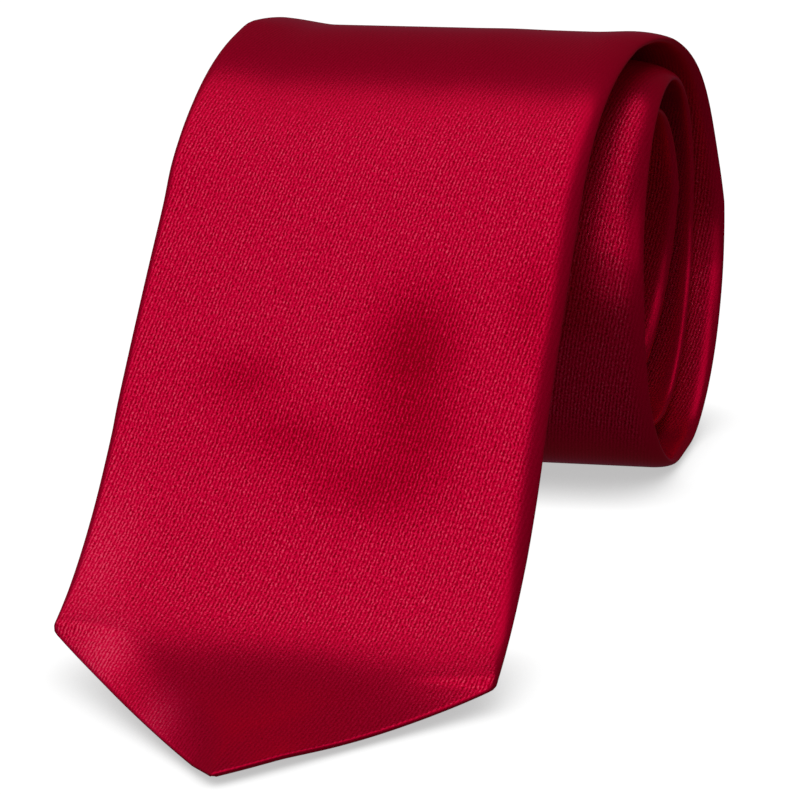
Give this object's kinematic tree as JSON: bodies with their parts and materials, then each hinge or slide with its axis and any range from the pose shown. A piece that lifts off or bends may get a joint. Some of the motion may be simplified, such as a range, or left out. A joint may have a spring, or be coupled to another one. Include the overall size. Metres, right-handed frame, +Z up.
{
  "type": "necktie",
  "caption": "Satin necktie, loosely rolled, with its pointed wide blade laid out over the front of the roll.",
  "frame": {"origin": "middle of the base of the whole object's box, on the surface that it lies on", "axes": "+X to the right along the roll's axis, +Y from the blade's point to the back of the roll, +Z up"},
  "size_m": [0.0914, 0.227, 0.092],
  "materials": {
    "crimson_satin": "satin weave, bright crimson, soft gloss",
    "wool_interlining": "matt brushed wool blend",
    "tipping_silk": "plain dark crimson lining",
    "blank_label": "plain woven ribbon, left blank",
    "crimson_thread": "matt sewing thread"
  },
  "bodies": {
    "roll": {"blade_roll_shell": "crimson_satin", "neck_shell": "crimson_satin", "tail_shell": "crimson_satin", "roll_interlining": "wool_interlining", "tail_tipping": "tipping_silk", "keeper_loop": "crimson_satin", "keeper_stitch_left": "crimson_thread", "keeper_stitch_right": "crimson_thread", "maker_label": "blank_label", "care_label": "blank_label", "slip_thread_roll": "crimson_thread", "tail_bar_tack": "crimson_thread", "blade_neck_seam_thread": "crimson_thread", "neck_tail_seam_thread": "crimson_thread"},
    "blade_front": {"blade_front_shell": "crimson_satin", "front_interlining": "wool_interlining", "front_tipping": "tipping_silk", "slip_thread_front": "crimson_thread", "blade_bar_tack": "crimson_thread"},
    "blade_tip": {"blade_tip_shell": "crimson_satin", "tip_interlining": "wool_interlining", "tip_tipping": "tipping_silk"}
  },
  "joints": [
    {"name": "blade_lift", "type": "hinge", "parent": "roll", "child": "blade_front", "pos_m": [-0.00313, 0.06337, 0.09204], "axis": [-1, 0, 0], "range_deg": [0, 70]},
    {"name": "tip_curl", "type": "hinge", "parent": "blade_front", "child": "blade_tip", "pos_m": [-0.00027, -0.05921, 0.01515], "axis": [-0.9978, 0.0135, 0.0642], "range_deg": [0, 70]}
  ]
}
